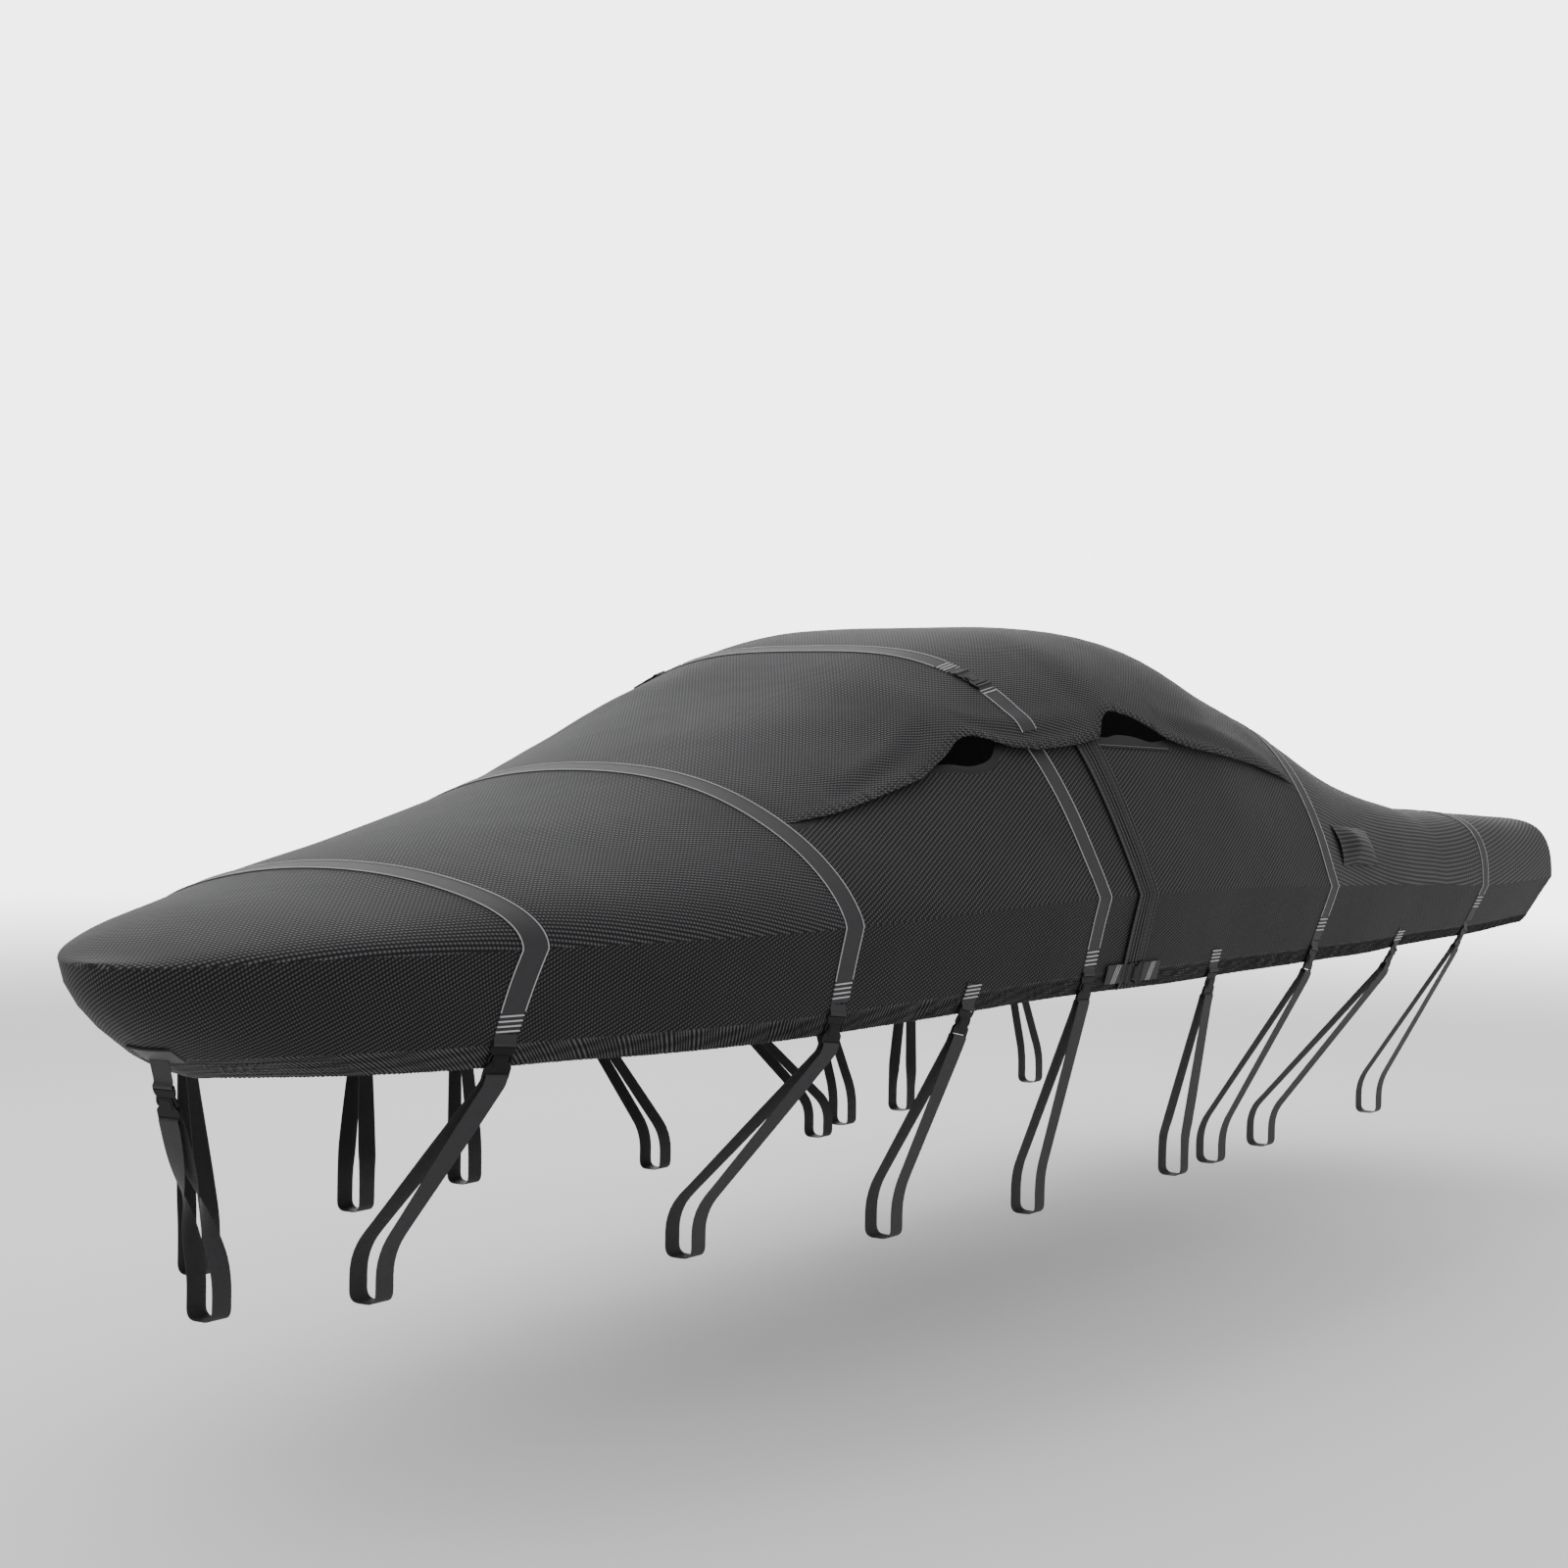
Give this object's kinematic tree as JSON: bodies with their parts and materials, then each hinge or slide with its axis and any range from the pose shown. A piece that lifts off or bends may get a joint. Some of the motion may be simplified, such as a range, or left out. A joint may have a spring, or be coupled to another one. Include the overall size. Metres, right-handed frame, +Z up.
{
  "type": "boat cover",
  "caption": "Fitted, hollow cloth cover for a boat, with a raised middle, sewn bands, pass-through openings, scoop vents, clips and tie-down loops.",
  "frame": {"origin": "the underside of the cloth at the crown, on the centre line, where the thing under it holds the cover up", "axes": "+X towards the stern end, +Y to starboard, +Z up"},
  "size_m": [7.9996, 2.4262, 2.0123],
  "materials": {
    "cloth": "matt woven polyester",
    "webbing": "matt woven webbing",
    "buckles": "moulded, slightly glossy"
  },
  "bodies": {
    "root": {"band_1": "webbing", "band_2": "webbing", "band_3": "webbing", "band_3_clip_port": "buckles", "band_3_clip_starboard": "buckles", "band_4_port": "webbing", "band_4_starboard": "webbing", "band_5": "webbing", "band_6": "webbing", "bow_patch": "webbing", "clip_1_port": "buckles", "clip_1_starboard": "buckles", "clip_2_port": "buckles", "clip_2_starboard": "buckles", "clip_3_port": "buckles", "clip_3_starboard": "buckles", "clip_4_port": "buckles", "clip_4_starboard": "buckles", "clip_5_port": "buckles", "clip_5_starboard": "buckles", "clip_6_port": "buckles", "clip_6_starboard": "buckles", "clip_7_port": "buckles", "clip_7_starboard": "buckles", "clip_8_port": "buckles", "clip_8_starboard": "buckles", "clip_bow": "buckles", "collar_port": "webbing", "collar_starboard": "webbing", "deck_aft": "cloth", "deck_front": "cloth", "hood": "cloth", "loop_1_port": "webbing", "loop_1_starboard": "webbing", "loop_2_port": "webbing", "loop_2_starboard": "webbing", "loop_3_port": "webbing", "loop_3_starboard": "webbing", "loop_4_port": "webbing", "loop_4_starboard": "webbing", "loop_5_port": "webbing", "loop_5_starboard": "webbing", "loop_6_port": "webbing", "loop_6_starboard": "webbing", "loop_7_port": "webbing", "loop_7_starboard": "webbing", "loop_8_port": "webbing", "loop_8_starboard": "webbing", "loop_bow": "webbing", "placket_clip_port": "buckles", "placket_clip_starboard": "buckles", "placket_port": "cloth", "placket_starboard": "cloth", "side_port": "cloth", "side_starboard": "cloth", "skirt_port": "cloth", "skirt_starboard": "cloth", "vent_port": "cloth", "vent_starboard": "cloth"}
  },
  "joints": []
}
